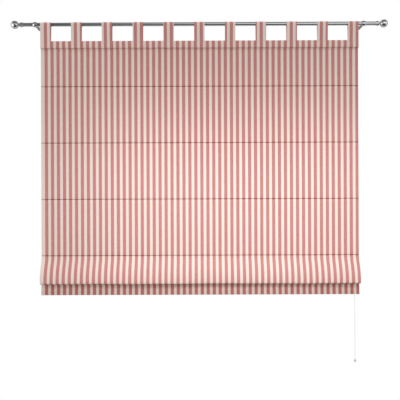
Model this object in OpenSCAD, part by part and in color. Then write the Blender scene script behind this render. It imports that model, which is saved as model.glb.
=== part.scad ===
// Tab-top roman blind on a chrome pole, drawn up by one pleat.
// Millimetres. +X is to the viewer's right, +Y runs back to the wall, +Z is up.
// The origin lies on the wall, midway between the brackets, level with the pole.

/* [Blind] */
// Width of the cloth
blind_w = 1600; // [1200:10:2000]
// Thickness of the cloth
cloth_t = 1.2; // [0.8:0.1:1.4]
// Height of the heading band above its seam
heading_h = 38; // [36:0.5:45]
// Heading seam down to the first batten seam
first_drop = 190.5; // [150:0.5:240]
// Cloth between one batten seam and the next
pleat_h = 284; // [240:1:320]
// Batten seams above the fold
seam_n = 4; // [2:1:5]

/* [Fold and hem] */
// Last batten seam down to the lower edge of the fold
fold_drop = 141.5; // [125:0.5:160]
// How far the fold stands forward of the flat cloth
fold_depth = 41; // [32:1:55]
// Radius of the cloth at the lower edge of the fold
fold_r = 9.5; // [7:0.5:13]
// How far the batten inside the fold hangs under the last seam
drawn_up = 12; // [10:0.5:20]
// Hem that shows below the fold
hem_show = 56; // [40:1:80]
// Height of the turned-up hem
hem_turn = 62; // [52:1:80]
// How far the hem hangs forward of the flat cloth
hem_forward = 10; // [0:1:16]

/* [Tabs] */
// Number of cloth loops along the heading
tab_n = 11; // [5:1:13]
// Width of a loop
tab_w = 52; // [40:1:70]
// Thickness of the doubled cloth of a loop
tab_t = 1.5; // [1:0.1:2]
// Pole centre down to the top edge of the heading
tab_drop = 84; // [60:1:120]

/* [Battens] */
// Height of the wooden batten in the heading
head_batten_h = 30; // [26:0.5:31]
// Thickness of the wooden batten in the heading
head_batten_t = 8; // [7:0.5:12]
// Diameter of the rods in the tucks
rod_d = 6; // [4:0.5:8]
// Height of the flat bar in the hem
hem_bar_h = 25; // [15:1:32]
// Thickness of the flat bar in the hem
hem_bar_t = 4; // [3:0.5:6]
// Batten ends back from the edges of the cloth
batten_inset = 6; // [3:1:15]

/* [Pole and brackets] */
// Diameter of the pole
pole_d = 19; // [16:0.5:25]
// Wall of the pole's tube
pole_wall = 1; // [0.8:0.1:2]
// Wall to the centre of the pole
pole_projection = 90; // [80:1:140]
// Edge of the cloth to the middle of a bracket
bracket_gap = 27; // [15:1:60]
// Middle of a bracket to the end of the pole
pole_overhang = 74.5; // [40:0.5:120]
// Metal of a bracket ring round the pole, at its crown
ring_wall = 3.7; // [2.5:0.1:6]
// Width of a bracket ring
ring_w = 19; // [14:1:26]
// Diameter of a bracket stem
stem_d = 14; // [10:1:16]
// Diameter of the foot that bears on the wall
foot_d = 16; // [14:1:40]
// Length of the foot
foot_l = 4; // [2:0.5:8]
// Diameter of the tapped hole for the wall stud
stud_d = 6; // [4:0.5:8]
// Depth of the tapped hole for the wall stud
stud_depth = 25; // [15:1:40]

/* [Finials] */
// Diameter of the ball
ball_d = 40; // [30:1:60]
// Mouth of the collar to the centre of the ball
ball_reach = 40; // [36:1:60]
// Metal of the collar round the pole
collar_wall = 1.9; // [1.5:0.1:4]
// Length of the straight collar
collar_l = 13; // [10:0.5:20]
// Length of the taper from the collar to the neck
taper_l = 5; // [2:0.5:10]
// Diameter of the neck under the ball
neck_d = 13; // [8:0.5:18]
// Depth of the collar's socket
socket_depth = 12.6; // [8:0.2:16]

/* [Lift cords] */
// Number of lift cords, one in each column of rings
cord_n = 4; // [3:1:5]
// Edge of the cloth to the outer columns, which then take the nearest gap between tabs
column_inset = 100; // [60:5:200]
// Diameter of a lift cord
lift_cord_d = 1.3; // [1:0.1:1.4]
// Spacing of the cords where they run side by side
lane_pitch = 1.8; // [1.7:0.1:2.4]
// Outer diameter of a sewn ring
lift_ring_d = 9.4; // [8.6:0.2:12]
// Thickness of a sewn ring
lift_ring_t = 2.2; // [1.6:0.1:2.4]
// Wire of a guide eye
eye_wire = 2.2; // [1.8:0.1:3]
// Inner diameter of a guide eye
eye_bore = 8.8; // [8.6:0.2:12]
// Thread of a guide eye inside the batten
eye_thread_l = 6; // [4:0.2:6.4]
// Heading's top edge down to the cords that cross it
cord_level_drop = 11; // [9:0.5:14]

/* [Cord lock] */
// Edge of the cloth to the pull cord
pull_inset = 17; // [16:1:40]
// Radius of the pulley's drum
pulley_r = 6; // [5:0.1:8]
// Height of the pulley's rims above the drum
rim_h = 1.3; // [0.9:0.1:1.6]
// Diameter of the pulley's pin and of the cam's pin
pin_d = 3; // [2:0.1:3.4]
// Reach of the cam's toothed face from its pin
cam_r = 8; // [7:0.1:10]
// Length of the cam's tail from its pin
tail_l = 12.5; // [10:0.5:16]
// Wall of the lock's housing
lock_wall = 2.4; // [1.8:0.1:3.5]

/* [Pull cord] */
// Pole centre down to the middle of the knob
pull_drop = 1703; // [1550:1:1900]
// Diameter of the pull cord
pull_cord_d = 2; // [1.6:0.1:2.6]
// Diameter of the knob
knob_d = 14; // [12:0.5:20]
// Diameter of the joiner
joiner_d = 13; // [12:0.5:18]
// Length of the joiner
joiner_l = 24; // [20:1:40]

/* [Hidden] */
$fn = 48;
// Degrees to a step of a drawn arc, and steps along a curve
arc_step = 15;
curve_steps = 14;

CLOTH = [0.88, 0.66, 0.62];
CHROME = [0.80, 0.81, 0.83];
WOOD = [0.80, 0.64, 0.42];
PLASTIC = [0.93, 0.92, 0.88];
STEEL = [0.62, 0.63, 0.65];

// Clearances between pieces
pocket_clear = 0.2;
rod_clear = 0.25;
stitch_gap = 0.1;
seat_gap = 0.15;
loop_fit = 0.3;
socket_fit = 0.1;
thread_fit = 0.05;
pin_seat = 0.02;
run_fit = 0.05;
side_play = 0.3;
pierce = 0.3;
cut = 1;

// Heading: two layers of cloth round the batten, joined at a seam below it
layer_y = head_batten_t / 2 + pocket_clear + cloth_t / 2;
heading_top = -tab_drop;
heading_seam = heading_top - heading_h;
heading_crease = 1;
heading_bend = cloth_t / 2 + heading_crease;
seam_allowance = 6;
facing_turn = 6;
facing_ease = 3;
head_batten_top = heading_top - cloth_t - pocket_clear;
head_batten_edge = 1;

// Tucks: the cloth turns back at a seam and wraps a rod
seam_z = [for (i = [0 : seam_n - 1]) heading_seam - first_drop - i * pleat_h];
last_seam = seam_z[seam_n - 1];
tuck_bend = 2;
tuck_neck = 6;
tuck_half = (cloth_t + stitch_gap) / 2;
tuck_r = rod_d / 2 + rod_clear + cloth_t / 2;
rod_y = layer_y + tuck_bend + tuck_neck;
rod_z = concat(seam_z, [last_seam - drawn_up]);
rod_n = len(rod_z);

// Fold: the last pleat hangs forward, and its upper tuck tilts up towards the rings
fold_y = layer_y - fold_depth;
fold_bottom = last_seam - fold_drop;
fold_swing_top = 33;
fold_swing_low = 78;
fold_rise = 40;
folded_tuck_aim = 35;
folded_tuck_lead = 4;
folded_tuck_hold = 3;
folded_neck = [rod_y, rod_z[rod_n - 1]] - turn([tuck_neck, 0], folded_tuck_aim);
folded_layer = turn([0, tuck_half], folded_tuck_aim);

// Hem: hangs from the folded tuck and turns up round its bar
hem_r = hem_bar_t / 2 + pocket_clear + cloth_t / 2;
hem_bottom = fold_bottom - hem_show;
hem_bend = folded_neck - folded_layer - turn([0, tuck_bend], folded_tuck_aim);
hem_start = hem_bend - [tuck_bend, 0];
hem_end = [layer_y - hem_forward, hem_bottom + cloth_t / 2 + hem_r];
hem_down = unit(hem_end - hem_start);
hem_back = turn(hem_down, 90);
hem_axis = hem_end + hem_r * hem_back;
hem_angle = atan2(hem_back.y, hem_back.x);
hem_close = 12;

// Tabs: spaced from edge to edge, their leaves flat on both faces of the heading
tab_pitch = (blind_w - tab_w) / (tab_n - 1);
leaf_y = layer_y + cloth_t / 2 + seat_gap + tab_t / 2;
loop_r = pole_d / 2 + loop_fit + tab_t / 2;
leaf_inset = 2.5;
leaf_end = heading_seam + leaf_inset;

// Pole, brackets and finials
bracket_x = blind_w / 2 + bracket_gap;
pole_l = 2 * (bracket_x + pole_overhang);
ring_bore = pole_d + 2 * loop_fit;
ring_d = pole_d + 2 * (loop_fit + ring_wall);
ring_crown = 22;
crown_steps = 240;
grub_d = 4;
grub_socket = 2.2;
finial_grub_socket = 1.6;
grub_socket_depth = 1.4;
grub_sunk = 0.3;
collar_d = pole_d + 2 * (socket_fit + collar_wall);
collar_edge = 0.8;
pole_seat = 0.3;
finial_x = pole_l / 2 + pole_seat - socket_depth;
finial_grub_x = finial_x + socket_depth / 2;
finial_grub_d = 3;

// Rings, guide eyes and lift cords
lift_ring_y = rod_y + tuck_r + cloth_t / 2 + seat_gap + lift_ring_d / 2;
lane_mid = lift_ring_y + (cord_n - 3) / 2 * lane_pitch;
cord_level = heading_top - cord_level_drop;
column_step = (blind_w - 2 * column_inset) / (cord_n - 1);
cord_bend = 5;
lane_shift_start = 10;
lane_shift_end = 50;
eye_r = (eye_bore + eye_wire) / 2;
eye_lift = 2.4;
eye_z = cord_level + eye_lift;
knot_grip = 0.4;
knot_r = lift_ring_d / 2 - lift_ring_t + knot_grip;
knot_shape = [-1, -0.7, 0, 0.7, 1];
cord_tail = 5;
cord_sides = 8;

// Cord lock: the cords cross the pulley, and a cam closes on them below it
pull_x = blind_w / 2 - pull_inset;
wrap_r = pulley_r + lift_cord_d / 2 + run_fit;
pulley_x = pull_x - wrap_r;
pulley_z = cord_level - wrap_r;
rim_r = pulley_r + rim_h;
rim_t = 0.8;
lock_half = cord_n * lane_pitch / 2 + rim_t;
lock_seat = layer_y + cloth_t / 2 + seat_gap + tab_t + seat_gap;
lock_front = lane_mid - lock_half;
lock_rear = lane_mid + lock_half;
cam_gap = 0.35;
cam_x = pull_x - lift_cord_d / 2 - cam_gap - cam_r;
cam_drop = 2.4;
cam_z = pulley_z - rim_r - cam_r - cam_drop;
cam_hub_wall = 2;
cam_hub_r = pin_d / 2 + cam_hub_wall;
cam_growth = 0.012;
cam_low = -30;
cam_high = 40;
tooth_step = 5;
tooth_h = 0.5;
tail_t = 3.2;
tail_weight_r = 3;
lock_left = pulley_x - rim_r - lock_wall;
anvil_gap = 0.55;
anvil_x = pull_x + lift_cord_d / 2 + anvil_gap;
lock_right = anvil_x + lock_wall;
cord_headroom = 5;
lock_top = cord_level + cord_headroom + lock_wall;
lock_bottom = cam_z - cam_r - cut;
lock_corner = 1.6;
pin_sunk = 2;
flange_w = 14;
flange_t = 3;
flange_corner = 4;
flange_overlap = 4;
flange_bottom = heading_top - head_batten_h - flange_overlap;
screw_x = lock_left - flange_w / 2;
screw_mid = head_batten_top - head_batten_h / 2;
screw_spread = 18;
screw_d = 3;
screw_head_d = 6;
screw_bite = 6;
screw_slot_w = 0.8;
screw_slot_depth = 0.7;

// Pull cord: hangs from the joiner, which rests under the lock when the blind is down
joiner_top = lock_bottom - pleat_h;
joiner_hole = 5.5;
joiner_grip = 7.5;
joiner_crown = 60;
cord_hole_fit = 0.1;
knob_neck_d = 6;
knob_neck_l = 3;
knob_knot_r = 2.4;
knob_recess_d = 6.4;
knob_recess = 5.5;
pull_steps = 16;
pull_top = joiner_top - joiner_l + joiner_grip;
pull_knot_z = -pull_drop - knob_d / 2 + knob_recess - knob_knot_r - stitch_gap;
pull_run = pull_top - pull_knot_z - 2 * knob_knot_r;

// Plane geometry, with points as [depth, height]
function unit(v) = v / norm(v);
function turn(p, a) = [p.x * cos(a) - p.y * sin(a), p.x * sin(a) + p.y * cos(a)];
function arc(c, r, a0, a1) =
    let (n = ceil(abs(a1 - a0) / arc_step))
    [for (i = [0 : n]) c + turn([r, 0], a0 + (a1 - a0) * i / n)];

// Points between the ends p0 and p3 of a curve that p1 and p2 draw out
function curve(p0, p1, p2, p3) = [
    for (i = [1 : curve_steps - 1])
        let (t = i / curve_steps, s = 1 - t)
        s * s * s * p0 + 3 * s * s * t * p1 + 3 * s * t * t * p2 + t * t * t * p3
];

// Point i of a path moved sideways by d, square to the path
function beside(path, i, d) =
    let (
        last = len(path) - 1,
        before = turn(unit(path[max(i, 1)] - path[max(i, 1) - 1]), 90),
        after = turn(unit(path[min(i, last - 1) + 1] - path[min(i, last - 1)]), 90),
        mid = unit(before + after)
    )
    path[i] + d / (mid * before) * mid;

// Strip of cloth of thickness t along a path
module ribbon(path, t) {
    last = len(path) - 1;
    polygon(concat(
        [for (i = [0 : last]) beside(path, i, t / 2)],
        [for (i = [last : -1 : 0]) beside(path, i, -t / 2)]
    ));
}

// A section drawn as [depth, height], run along X from the pole's middle
module along_x(x, w) {
    translate([x - w / 2, -pole_projection, 0])
        rotate([90, 0, 90])
            linear_extrude(w)
                children();
}

// A place in the pole's own frame, with the axis of a turned shape laid along X or Y
module at_pole(x, y, z) {
    translate([x, y - pole_projection, z])
        children();
}

module axis_x() {
    rotate([0, 90, 0])
        children();
}

module axis_y() {
    rotate([-90, 0, 0])
        children();
}

// Round loop of a tuck, from its first layer round the rod to its second
function tuck_loop(neck, aim) =
    let (lean = asin(tuck_r / norm([tuck_neck, tuck_half])) - atan2(tuck_half, tuck_neck))
    [for (p = arc([tuck_neck, 0], tuck_r, 90 + lean, -90 - lean)) neck + turn(p, aim)];

// Cloth at one batten seam: in at the front, round the rod, and out again
function seam_path(z) = concat(
    arc([layer_y + tuck_bend, z + tuck_half + tuck_bend], tuck_bend, 180, 270),
    tuck_loop([layer_y + tuck_bend, z], 0),
    arc([layer_y + tuck_bend, z - tuck_half - tuck_bend], tuck_bend, 90, 180)
);

// Facing sewn below the batten, up its front and over its top
function heading_path() =
    let (
        sewn = layer_y - cloth_t - stitch_gap,
        crown = heading_top - cloth_t / 2 - heading_bend,
        hold = [sewn, heading_seam],
        front = [-layer_y, heading_seam + facing_turn],
        ease = [0, facing_ease]
    )
    concat(
        [hold - [0, seam_allowance], hold],
        curve(hold, hold + ease, front - ease, front),
        [front],
        arc([heading_bend - layer_y, crown], heading_bend, 180, 90),
        arc([layer_y - heading_bend, crown], heading_bend, 90, 0)
    );

// Last pleat: forward and down, round its lower edge, and up to the tuck inside
function fold_path() =
    let (
        from = [layer_y, last_seam - tuck_half - tuck_bend],
        low = [fold_y + fold_r, fold_bottom + cloth_t / 2 + fold_r],
        front = low - [fold_r, 0],
        inside = low + [fold_r, 0],
        lead = turn([folded_tuck_lead, 0], folded_tuck_aim),
        hold = folded_neck + folded_layer - turn([folded_tuck_hold, 0], folded_tuck_aim)
    )
    concat(
        curve(from, from - [0, fold_swing_top], [fold_y, fold_bottom + fold_swing_low], front),
        arc(low, fold_r, 180, 360),
        curve(inside, inside + [0, fold_rise], hold - lead, hold),
        [hold, folded_neck + folded_layer],
        tuck_loop(folded_neck, folded_tuck_aim),
        arc(hem_bend, tuck_bend, 90 + folded_tuck_aim, 180)
    );

// Hem: down to the bar, round it and up the back to its own seam
function hem_path() =
    let (panel_back = hem_end + (cloth_t + stitch_gap) * hem_back)
    concat(
        arc(hem_axis, hem_r, hem_angle + 180, hem_angle + 360),
        [
            hem_axis + hem_r * hem_back - hem_bar_h * hem_down,
            panel_back - (hem_bar_h + hem_close) * hem_down,
            panel_back - hem_turn * hem_down
        ]
    );

panel_path = concat(
    heading_path(),
    [for (z = seam_z) each seam_path(z)],
    fold_path(),
    hem_path()
);

module blind_panel() {
    color(CLOTH)
        difference() {
            along_x(0, blind_w)
                ribbon(panel_path, cloth_t);
            for (i = [1 : cord_n])
                at_pole(column_x(i) + cord_bend, layer_y - cloth_t, eye_z)
                    axis_y()
                        cylinder(d = eye_wire + 2 * pierce, h = 2 * cloth_t);
            for (z = lock_screw_z())
                at_pole(screw_x, layer_y - cloth_t, z)
                    axis_y()
                        cylinder(d = screw_d + 2 * pierce, h = 2 * cloth_t);
        }
}

// Cloth loop over the pole, with a leaf down each face of the heading
function tab_x(i) = (i - 1) * tab_pitch - (blind_w - tab_w) / 2;

function tab_path() =
    let (lean = asin((loop_r - leaf_y) / norm([loop_r - leaf_y, tab_drop])))
    concat(
        [[-leaf_y, leaf_end], [-leaf_y, heading_top]],
        arc([0, 0], loop_r, 180 + lean, -lean),
        [[leaf_y, heading_top], [leaf_y, leaf_end]]
    );

module tab(i) {
    color(CLOTH)
        difference() {
            along_x(tab_x(i), tab_w)
                ribbon(tab_path(), tab_t);
            if (i == tab_n)
                for (z = lock_screw_z())
                    at_pole(screw_x, leaf_y - tab_t, z)
                        axis_y()
                            cylinder(d = screw_d + 2 * pierce, h = 2 * tab_t);
        }
}

// Wooden strip in the heading, bored for the guide eyes and the lock's screws
module head_batten() {
    w = head_batten_t / 2;
    low = head_batten_top - head_batten_h;
    e = head_batten_edge;
    color(WOOD)
        difference() {
            along_x(0, blind_w - 2 * batten_inset)
                polygon([
                    [e - w, low], [w - e, low], [w, low + e], [w, head_batten_top - e],
                    [w - e, head_batten_top], [e - w, head_batten_top],
                    [-w, head_batten_top - e], [-w, low + e]
                ]);
            for (i = [1 : cord_n])
                at_pole(column_x(i) + cord_bend, w - eye_thread_l - seat_gap, eye_z)
                    axis_y()
                        cylinder(d = eye_wire + 2 * thread_fit, h = head_batten_t);
            for (z = lock_screw_z())
                at_pole(screw_x, w - screw_bite - seat_gap, z)
                    axis_y()
                        cylinder(d = screw_d + 2 * thread_fit, h = head_batten_t);
        }
}

module batten(i) {
    color(PLASTIC)
        along_x(0, blind_w - 2 * batten_inset)
            translate([rod_y, rod_z[i - 1]])
                circle(d = rod_d);
}

// Flat bar with rounded edges, standing in the turned-up hem
module hem_bar() {
    run = hem_bar_h - hem_bar_t;
    color(STEEL)
        along_x(0, blind_w - 2 * batten_inset)
            translate(hem_axis)
                rotate(hem_angle) {
                    circle(d = hem_bar_t);
                    translate([-hem_bar_t / 2, 0])
                        square([hem_bar_t, run]);
                    translate([0, run])
                        circle(d = hem_bar_t);
                }
}

module curtain_pole() {
    color(CHROME)
        at_pole(-pole_l / 2, 0, 0)
            axis_x()
                difference() {
                    cylinder(d = pole_d, h = pole_l);
                    translate([0, 0, -cut])
                        cylinder(d = pole_d - 2 * pole_wall, h = pole_l + 2 * cut);
                }
}

// Headless screw with a six-sided socket, from under the pole down to reach below its axis
module grub_screw(x, d, reach, socket) {
    at_pole(x, 0, -reach)
        difference() {
            cylinder(d = d, h = reach - pole_d / 2 - thread_fit);
            translate([0, 0, -cut])
                cylinder(d = socket, h = grub_socket_depth + cut, $fn = 6);
        }
}

// Barrel ring round the pole on a stem with a foot, tapped for a wall stud
module bracket(side) {
    color(CHROME)
        difference() {
            union() {
                at_pole(side * bracket_x, 0, 0)
                    axis_x()
                        rotate_extrude()
                            intersection() {
                                translate([0, -ring_w / 2])
                                    square([ring_d / 2, ring_w]);
                                translate([ring_d / 2 - ring_crown, 0])
                                    circle(r = ring_crown, $fn = crown_steps);
                            }
                at_pole(side * bracket_x, 0, 0)
                    axis_y()
                        cylinder(d = stem_d, h = pole_projection);
                translate([side * bracket_x, -foot_l, 0])
                    axis_y()
                        cylinder(d = foot_d, h = foot_l);
            }
            at_pole(side * bracket_x - ring_w, 0, 0)
                axis_x()
                    cylinder(d = ring_bore, h = 2 * ring_w);
            at_pole(side * bracket_x, 0, -ring_d)
                cylinder(d = grub_d + 2 * thread_fit, h = ring_d);
            translate([side * bracket_x, -stud_depth, 0])
                axis_y()
                    cylinder(d = stud_d, h = stud_depth + cut);
        }
}

module bracket_grub_screws() {
    color(STEEL)
        for (side = [-1, 1])
            grub_screw(side * bracket_x, grub_d, ring_d / 2 - grub_sunk, grub_socket);
}

// Turned collar, taper, neck and ball, bored to slip over the pole's end
module finial(side) {
    r = collar_d / 2;
    color(CHROME)
        mirror([side < 0 ? 1 : 0, 0, 0])
            difference() {
                at_pole(finial_x, 0, 0)
                    axis_x() {
                        rotate_extrude()
                            polygon([
                                [0, 0], [r - collar_edge, 0], [r, collar_edge], [r, collar_l],
                                [neck_d / 2, collar_l + taper_l], [neck_d / 2, ball_reach],
                                [0, ball_reach]
                            ]);
                        translate([0, 0, ball_reach])
                            sphere(d = ball_d);
                    }
                at_pole(finial_x - cut, 0, 0)
                    axis_x()
                        cylinder(d = pole_d + 2 * socket_fit, h = socket_depth + cut);
                at_pole(finial_grub_x, 0, -collar_d)
                    cylinder(d = finial_grub_d + 2 * thread_fit, h = collar_d);
            }
}

module finial_grub_screws() {
    color(STEEL)
        for (side = [-1, 1])
            grub_screw(side * finial_grub_x, finial_grub_d, collar_d / 2 - grub_sunk / 2, finial_grub_socket);
}

// Column i stands in the gap between tabs that is nearest its even share of the width
function column_x(i) =
    let (
        even = (i - 1) * column_step + column_inset - blind_w / 2,
        gap = round((even - tab_x(1)) / tab_pitch - 0.5)
    )
    tab_x(1) + (gap + 0.5) * tab_pitch;

module lift_rings(i) {
    wire_r = lift_ring_t / 2;
    color(PLASTIC)
        for (z = rod_z)
            at_pole(column_x(i), lift_ring_y, z)
                rotate_extrude()
                    translate([lift_ring_d / 2 - wire_r, 0])
                        circle(r = wire_r);
}

// Screw eyes on the back of the head batten, one at the top of each column
module guide_eyes() {
    tip = head_batten_t / 2 - eye_thread_l;
    color(STEEL)
        for (i = [1 : cord_n])
            at_pole(column_x(i) + cord_bend, 0, eye_z) {
                translate([0, lane_mid, 0])
                    axis_x()
                        rotate_extrude()
                            translate([eye_r, 0])
                                circle(d = eye_wire);
                translate([0, tip, 0])
                    axis_y()
                        cylinder(d = eye_wire, h = lane_mid - eye_r - tip);
            }
}

// Round tube through points of a route, with its own radius at each of them
module tube(route, radii) {
    last = len(route) - 1;
    n = cord_sides;
    points = [
        for (i = [0 : last])
            let (
                along = unit(route[min(i + 1, last)] - route[max(i - 1, 0)]),
                u = unit(cross([0, 1, 0], along)),
                v = cross(along, u)
            )
            for (j = [0 : n - 1]) route[i] + radii[i] * (cos(360 * j / n) * u + sin(360 * j / n) * v)
    ];
    walls = [
        for (i = [0 : last - 1], j = [0 : n - 1])
            let (k = (j + 1) % n, low = i * n, high = low + n)
            each [[low + j, high + j, high + k], [low + j, high + k, low + k]]
    ];
    ends = [[for (j = [0 : n - 1]) j], [for (j = [n - 1 : -1 : 0]) last * n + j]];
    polyhedron(points, concat(walls, ends));
}

// Heights and radii of a knot of radius r tied in a cord of radius c
function knot_z(r) = [for (h = knot_shape) h * r];
function knot_radii(r, c) = [for (h = knot_shape) max(c, r * sqrt(1 - h * h))];

// Cord i keeps its own lane from the first bend to the joiner
function lane_y(i) =
    lift_ring_y + lane_pitch * (i == cord_n ? 0 : i == cord_n - 1 ? -1 : cord_n - 1 - i);

function lift_cord_route(i) =
    let (
        x = column_x(i),
        y = lift_ring_y,
        lane = lane_y(i),
        knot = rod_z[rod_n - 1] - lift_ring_t / 2 - knot_r - stitch_gap,
        from = x + cord_bend,
        shift = [[from + lane_shift_start, y, cord_level], [from + lane_shift_end, lane, cord_level]]
    )
    concat(
        [[x, y, knot - knot_r - cord_tail]],
        [for (z = knot_z(knot_r)) [x, y, knot + z]],
        [for (p = arc([from, cord_level - cord_bend], cord_bend, 180, 90)) [p.x, y, p.y]],
        i == cord_n ? [] : shift,
        [for (p = arc([pulley_x, pulley_z], wrap_r, 90, 0)) [p.x, lane, p.y]],
        [[pull_x, lane, joiner_top - joiner_hole + stitch_gap]]
    );

module lift_cord(i) {
    route = lift_cord_route(i);
    r = lift_cord_d / 2;
    radii = concat([r], knot_radii(knot_r, r), [for (j = [len(knot_shape) + 1 : len(route) - 1]) r]);
    color(PLASTIC)
        at_pole(0, 0, 0)
            tube(route, radii);
}

function lock_screw_z() = [for (s = [-1, 1]) screw_mid + s * screw_spread / 2];

// Plate of thickness t behind the lock's seat, with corners of radius r
module lock_plate(x, z, w, h, t, r) {
    at_pole(x, lock_seat + t, z)
        rotate([90, 0, 0])
            linear_extrude(t) {
                translate([r, 0])
                    square([w - 2 * r, h]);
                translate([0, r])
                    square([w, h - 2 * r]);
                for (u = [r, w - r], v = [r, h - r])
                    translate([u, v])
                        circle(r = r);
            }
}

// Moulded block with a rear cheek, open at the left and below for the cords
module lock_housing() {
    w = lock_right - lock_left;
    h = lock_top - lock_bottom;
    flange_l = flange_w + w / 2;
    flange_h = lock_top - flange_bottom;
    color(PLASTIC)
        difference() {
            union() {
                lock_plate(lock_left, lock_bottom, w, h, lock_rear + lock_wall - lock_seat, lock_corner);
                lock_plate(lock_left - flange_w, flange_bottom, flange_l, flange_h, flange_t, flange_corner);
            }
            at_pole(lock_left - cut, lock_front, lock_bottom - cut)
                cube([anvil_x - lock_left + cut, lock_rear - lock_front, h - lock_wall + cut]);
            for (p = [[pulley_x, pulley_z], [cam_x, cam_z]])
                at_pole(p.x, lock_front - pin_sunk - seat_gap, p.y)
                    axis_y()
                        cylinder(d = pin_d + 2 * pin_seat, h = lock_rear);
            for (z = lock_screw_z())
                at_pole(screw_x, lock_seat, z)
                    axis_y() {
                        translate([0, 0, -cut])
                            cylinder(d = screw_d + 2 * pierce, h = flange_t + 2 * cut);
                        translate([0, 0, flange_t - screw_head_d / 2])
                            screw_head(2 * pierce);
                    }
        }
}

// Countersunk head, wider than the screw's own by spare
module screw_head(spare) {
    cylinder(d1 = spare, d2 = screw_head_d + spare, h = screw_head_d / 2);
}

// Drum with two rims, free to turn on its pin
module lock_pulley() {
    l = lock_half - side_play;
    color(STEEL)
        at_pole(pulley_x, lane_mid, pulley_z)
            axis_y()
                difference() {
                    union() {
                        cylinder(r = pulley_r, h = 2 * l, center = true);
                        for (s = [-1, 1])
                            translate([0, 0, s * (l - rim_t / 4)])
                                cylinder(r = rim_r, h = rim_t / 2, center = true);
                    }
                    cylinder(d = pin_d + 2 * run_fit, h = 3 * l, center = true);
                }
}

module lock_pin(p) {
    color(STEEL)
        at_pole(p.x, lock_front - pin_sunk, p.y)
            axis_y()
                cylinder(d = pin_d, h = pin_sunk + lock_rear - lock_front + lock_wall);
}

// Toothed cam: its face swells downwards, so a rising cord draws it tighter,
// and its heavy tail keeps it closed
module lock_cam() {
    l = lock_half - side_play;
    teeth = [
        for (a = [cam_low : tooth_step : cam_high])
            let (r = cam_r - cam_growth * a - tooth_h)
            each [turn([r, 0], a), turn([r + tooth_h, 0], a + tooth_step / 2)]
    ];
    color(STEEL)
        at_pole(cam_x, lane_mid + l, cam_z)
            rotate([90, 0, 0])
                linear_extrude(2 * l)
                    difference() {
                        union() {
                            polygon(concat([[0, 0]], teeth));
                            circle(r = cam_hub_r);
                            translate([-tail_l, -tail_t / 2])
                                square([tail_l, tail_t]);
                            translate([-tail_l, 0])
                                circle(r = tail_weight_r);
                        }
                        circle(d = pin_d + 2 * run_fit);
                    }
}

// Countersunk wood screw from the lock's flange into the batten
module lock_screws() {
    tip = head_batten_t / 2 - screw_bite;
    face = lock_seat + flange_t;
    color(STEEL)
        for (z = lock_screw_z())
            at_pole(screw_x, 0, z)
                difference() {
                    translate([0, tip, 0])
                        axis_y() {
                            cylinder(d = screw_d, h = face - tip - cut);
                            translate([0, 0, face - tip - screw_head_d / 2])
                                screw_head(0);
                        }
                    translate([-screw_head_d, face - screw_slot_depth, -screw_slot_w / 2])
                        cube([2 * screw_head_d, cut, screw_slot_w]);
                }
}

// Barrel with a hole above for each lift cord and one below for the pull cord
module cord_joiner() {
    r = joiner_d / 2;
    color(PLASTIC)
        difference() {
            at_pole(pull_x, lane_mid, joiner_top - joiner_l / 2)
                rotate_extrude()
                    intersection() {
                        translate([0, -joiner_l / 2])
                            square([r, joiner_l]);
                        translate([r - joiner_crown, 0])
                            circle(r = joiner_crown, $fn = crown_steps);
                    }
            for (i = [1 : cord_n])
                at_pole(pull_x, lane_y(i), joiner_top - joiner_hole)
                    cylinder(d = lift_cord_d + 2 * cord_hole_fit, h = joiner_hole + cut);
            at_pole(pull_x, lane_mid, joiner_top - joiner_l - cut)
                cylinder(d = pull_cord_d + 2 * cord_hole_fit, h = joiner_grip + cut);
        }
}

// One limp cord straight down, knotted inside the knob
pull_route = concat(
    [for (i = [0 : pull_steps]) [pull_x, lane_mid, pull_top - pull_run * i / pull_steps]],
    [for (z = knot_z(knob_knot_r)) [pull_x, lane_mid, pull_knot_z - z]]
);

module pull_cord() {
    r = pull_cord_d / 2;
    color(PLASTIC)
        at_pole(0, 0, 0)
            tube(pull_route, concat([for (i = [0 : pull_steps]) r], knot_radii(knob_knot_r, r)));
}

// Turned ball with a short neck, bored for the cord and hollowed below for its knot
module cord_knob() {
    color(PLASTIC)
        at_pole(pull_x, lane_mid, -pull_drop)
            difference() {
                union() {
                    sphere(d = knob_d);
                    cylinder(d = knob_neck_d, h = knob_d / 2 + knob_neck_l);
                }
                translate([0, 0, -knob_d])
                    cylinder(d = pull_cord_d + 2 * cord_hole_fit, h = 3 * knob_d);
                translate([0, 0, -knob_d])
                    cylinder(d = knob_recess_d, h = knob_d / 2 + knob_recess);
            }
}

curtain_pole();
finial(-1);  // finial_left
finial(1);  // finial_right
bracket(-1);  // bracket_left
bracket(1);  // bracket_right
bracket_grub_screws();
finial_grub_screws();
blind_panel();
head_batten();
hem_bar();
for (i = [1 : tab_n]) tab(i);
for (i = [1 : rod_n]) batten(i);
for (i = [1 : cord_n]) lift_rings(i);
for (i = [1 : cord_n]) lift_cord(i);
guide_eyes();
lock_housing();
lock_pulley();
lock_pin([pulley_x, pulley_z]);  // lock_pulley_pin
lock_cam();
lock_pin([cam_x, cam_z]);  // lock_cam_pin
lock_screws();
cord_joiner();
pull_cord();
cord_knob();
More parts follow.
